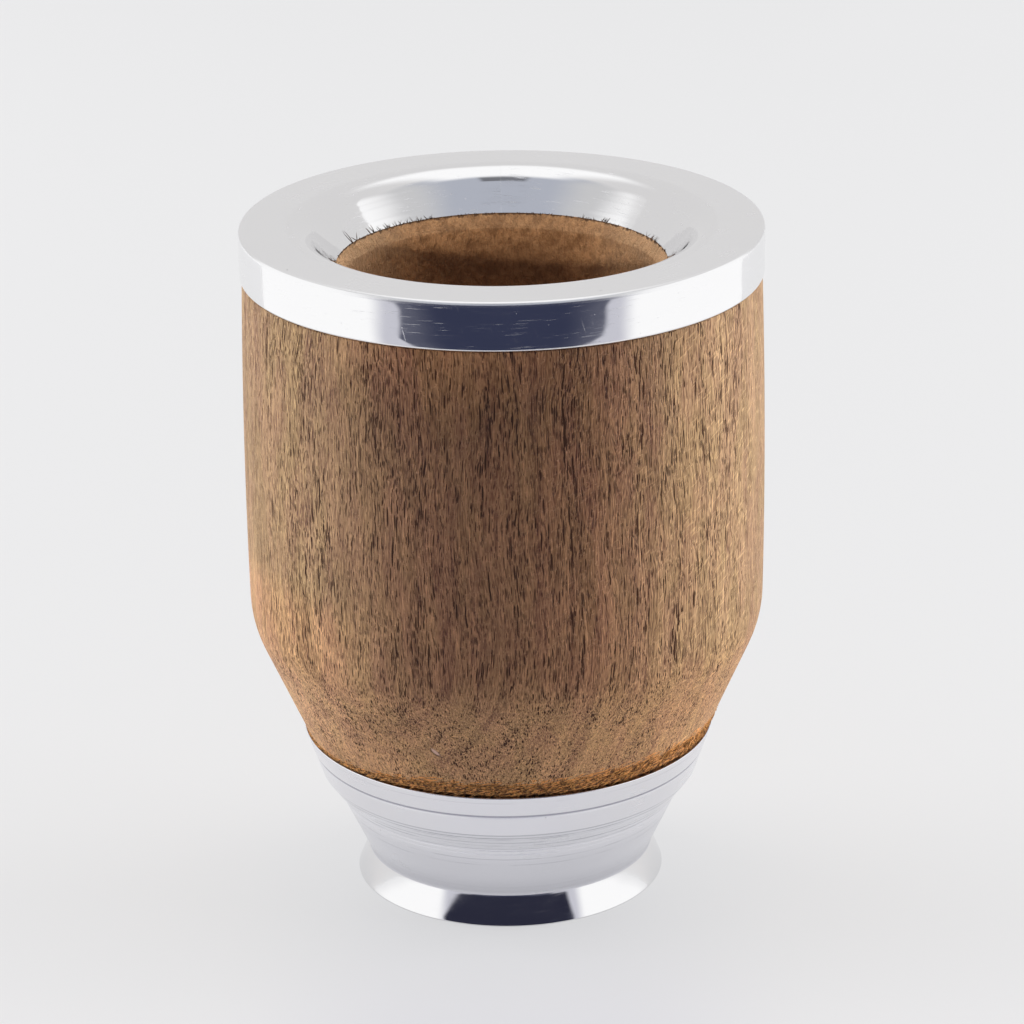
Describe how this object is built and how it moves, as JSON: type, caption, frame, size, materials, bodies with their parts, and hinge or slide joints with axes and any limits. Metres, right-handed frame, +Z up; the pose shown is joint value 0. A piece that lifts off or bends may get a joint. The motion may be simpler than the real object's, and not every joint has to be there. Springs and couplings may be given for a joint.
{
  "type": "mate cup",
  "caption": "Turned wooden mate cup with an aluminium ferrule round the mouth and a flared aluminium base under a tapered body.",
  "frame": {"origin": "middle of the foot's standing ring, on the surface the cup stands on", "axes": "+Z up, along the axis that the pieces were turned about; +Y away from the viewer of the picture"},
  "size_m": [0.0804, 0.0804, 0.107],
  "materials": {
    "wood": "bare fine-sanded open-pored hardwood",
    "aluminium": "turned, satin on the ledge and cone, polished on the band and skirt"
  },
  "bodies": {
    "root": {"base": "aluminium", "wooden_body": "wood", "ferrule": "aluminium"}
  },
  "joints": []
}
